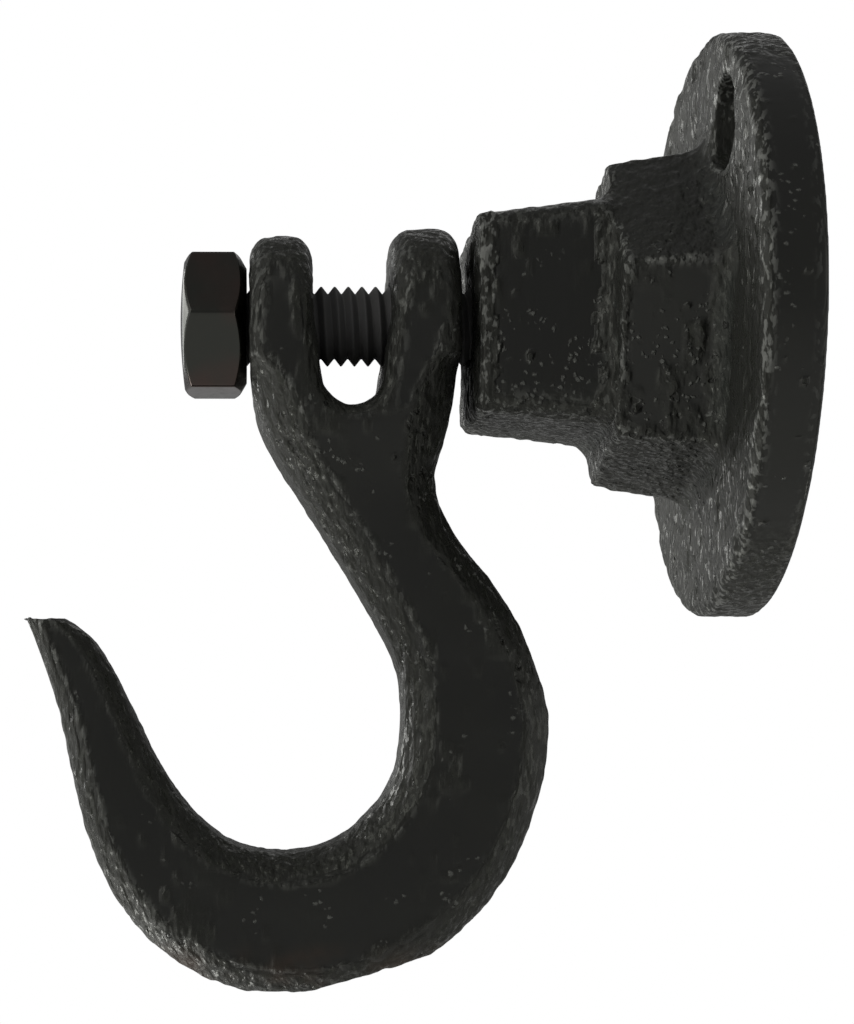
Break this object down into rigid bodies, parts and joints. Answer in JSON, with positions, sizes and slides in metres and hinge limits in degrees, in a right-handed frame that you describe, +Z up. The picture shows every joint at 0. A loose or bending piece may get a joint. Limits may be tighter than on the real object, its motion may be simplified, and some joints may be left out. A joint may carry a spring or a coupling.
{
  "type": "coat hook",
  "caption": "Cast-iron wall coat hook: a round wall flange with a square nose carries a clevis hook that swings on a hex bolt.",
  "frame": {"origin": "on the wall face of the flange, where the pivot bolt's axis meets it", "axes": "+X into the wall along the pivot bolt's axis, +Z up, the hook opens away from the wall towards -X"},
  "size_m": [0.0538, 0.0423, 0.0695],
  "materials": {
    "cast_black": "rough sand casting, painted near black, satin",
    "bolt_black": "black oxide, satin"
  },
  "bodies": {
    "wall": {"wall_flange": "cast_black", "pivot_bolt": "bolt_black"},
    "hook": {"clevis_hook": "cast_black"}
  },
  "joints": [
    {"name": "hook_swing", "type": "hinge", "parent": "wall", "child": "hook", "pos_m": [0, 0, 0], "axis": [1, 0, 0], "continuous": true}
  ]
}
